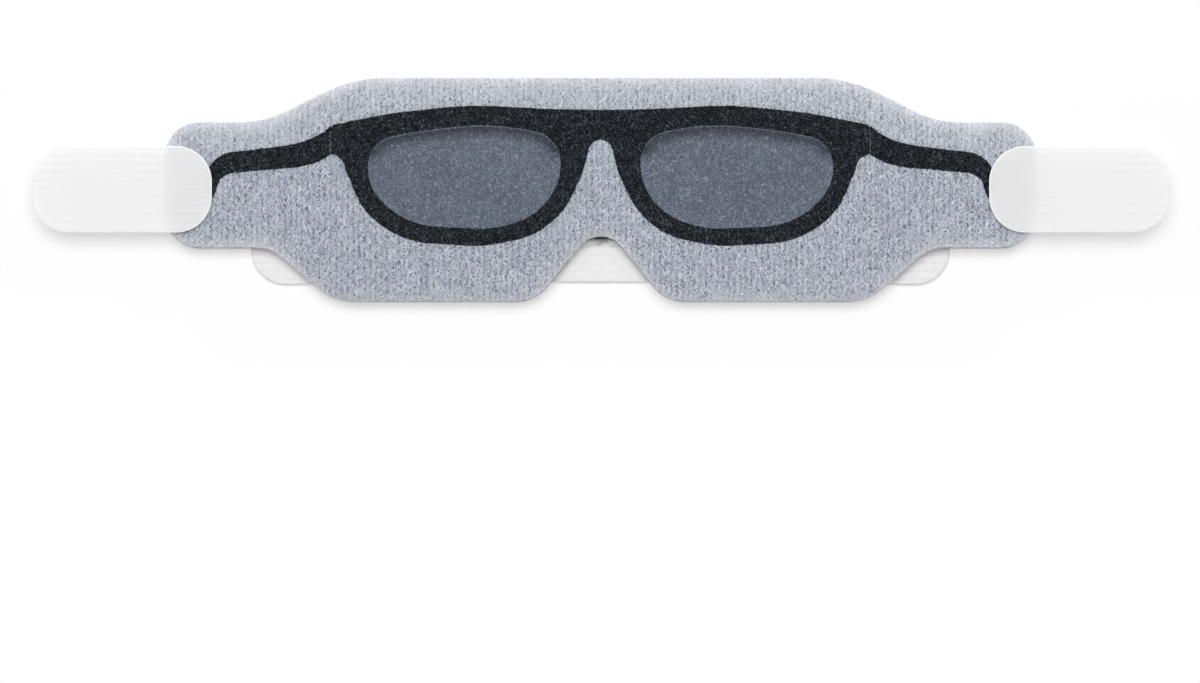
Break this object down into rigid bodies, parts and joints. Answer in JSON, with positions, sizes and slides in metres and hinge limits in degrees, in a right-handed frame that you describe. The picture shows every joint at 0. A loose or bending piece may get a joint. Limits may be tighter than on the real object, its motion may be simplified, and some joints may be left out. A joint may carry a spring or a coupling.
{
  "type": "phototherapy eye shield",
  "caption": "Soft padded eye shield for a newborn, with a printed sunglasses front, a nose notch, hook tabs at both ends and a separate head strap.",
  "frame": {"origin": "on the surface that the shield lies on, under the middle of its length and height", "axes": "+X along the shield to the right tab as seen from the printed front, +Y up the forehead, +Z out of the printed front"},
  "size_m": [0.2496, 0.049, 0.0052],
  "materials": {
    "loop_fabric": "brushed loop-pile knit",
    "lining_fabric": "smooth soft knit",
    "foam": "soft open-cell foam",
    "blackout_film": "matte film",
    "black_ink": "matte ink in the pile",
    "lens_ink": "matte ink in the pile",
    "hook_tape": "satin translucent moulded tape",
    "strap_fabric": "smooth loop-faced strap"
  },
  "bodies": {
    "left_half": {"skin_lining_left": "lining_fabric", "blackout_film_left": "blackout_film", "foam_core_left": "foam", "face_fabric_left": "loop_fabric", "printed_frame_left": "black_ink", "printed_lens_left": "lens_ink", "printed_temple_left": "black_ink"},
    "left_wing": {"skin_lining_left_wing": "lining_fabric", "blackout_film_left_wing": "blackout_film", "foam_core_left_wing": "foam", "face_fabric_left_wing": "loop_fabric", "printed_temple_tip_left": "black_ink"},
    "left_tab": {"hook_tab_left": "hook_tape"},
    "right_half": {"skin_lining_right": "lining_fabric", "blackout_film_right": "blackout_film", "foam_core_right": "foam", "face_fabric_right": "loop_fabric", "printed_frame_right": "black_ink", "printed_lens_right": "lens_ink", "printed_temple_right": "black_ink"},
    "right_wing": {"skin_lining_right_wing": "lining_fabric", "blackout_film_right_wing": "blackout_film", "foam_core_right_wing": "foam", "face_fabric_right_wing": "loop_fabric", "printed_temple_tip_right": "black_ink"},
    "right_tab": {"hook_tab_right": "hook_tape"},
    "strap": {"head_strap": "strap_fabric"}
  },
  "joints": [
    {"name": "nose_bend", "type": "hinge", "parent": "left_half", "child": "right_half", "pos_m": [0, 0, 0.0009], "axis": [0, 1, 0], "range_deg": [0, 50]},
    {"name": "strap_back", "type": "slide", "parent": "left_half", "child": "strap", "axis": [0, 0, -1], "range_m": [0, 0.113]},
    {"name": "left_wing_wrap", "type": "hinge", "parent": "left_half", "child": "left_wing", "pos_m": [-0.0776, 0, 0.0009], "axis": [0, -1, 0], "range_deg": [0, 75]},
    {"name": "right_wing_wrap", "type": "hinge", "parent": "right_half", "child": "right_wing", "pos_m": [0.0776, 0, 0.0009], "axis": [0, 1, 0], "range_deg": [0, 75]},
    {"name": "left_tab_peel", "type": "hinge", "parent": "left_wing", "child": "left_tab", "pos_m": [-0.0854, 0, 0.00525], "axis": [0, 1, 0], "range_deg": [0, 120]},
    {"name": "right_tab_peel", "type": "hinge", "parent": "right_wing", "child": "right_tab", "pos_m": [0.0854, 0, 0.00525], "axis": [0, -1, 0], "range_deg": [0, 120]}
  ],
  "couplings": [
    {"joint": "nose_bend", "follows": "strap_back", "rad_per_m": 7.7}
  ]
}
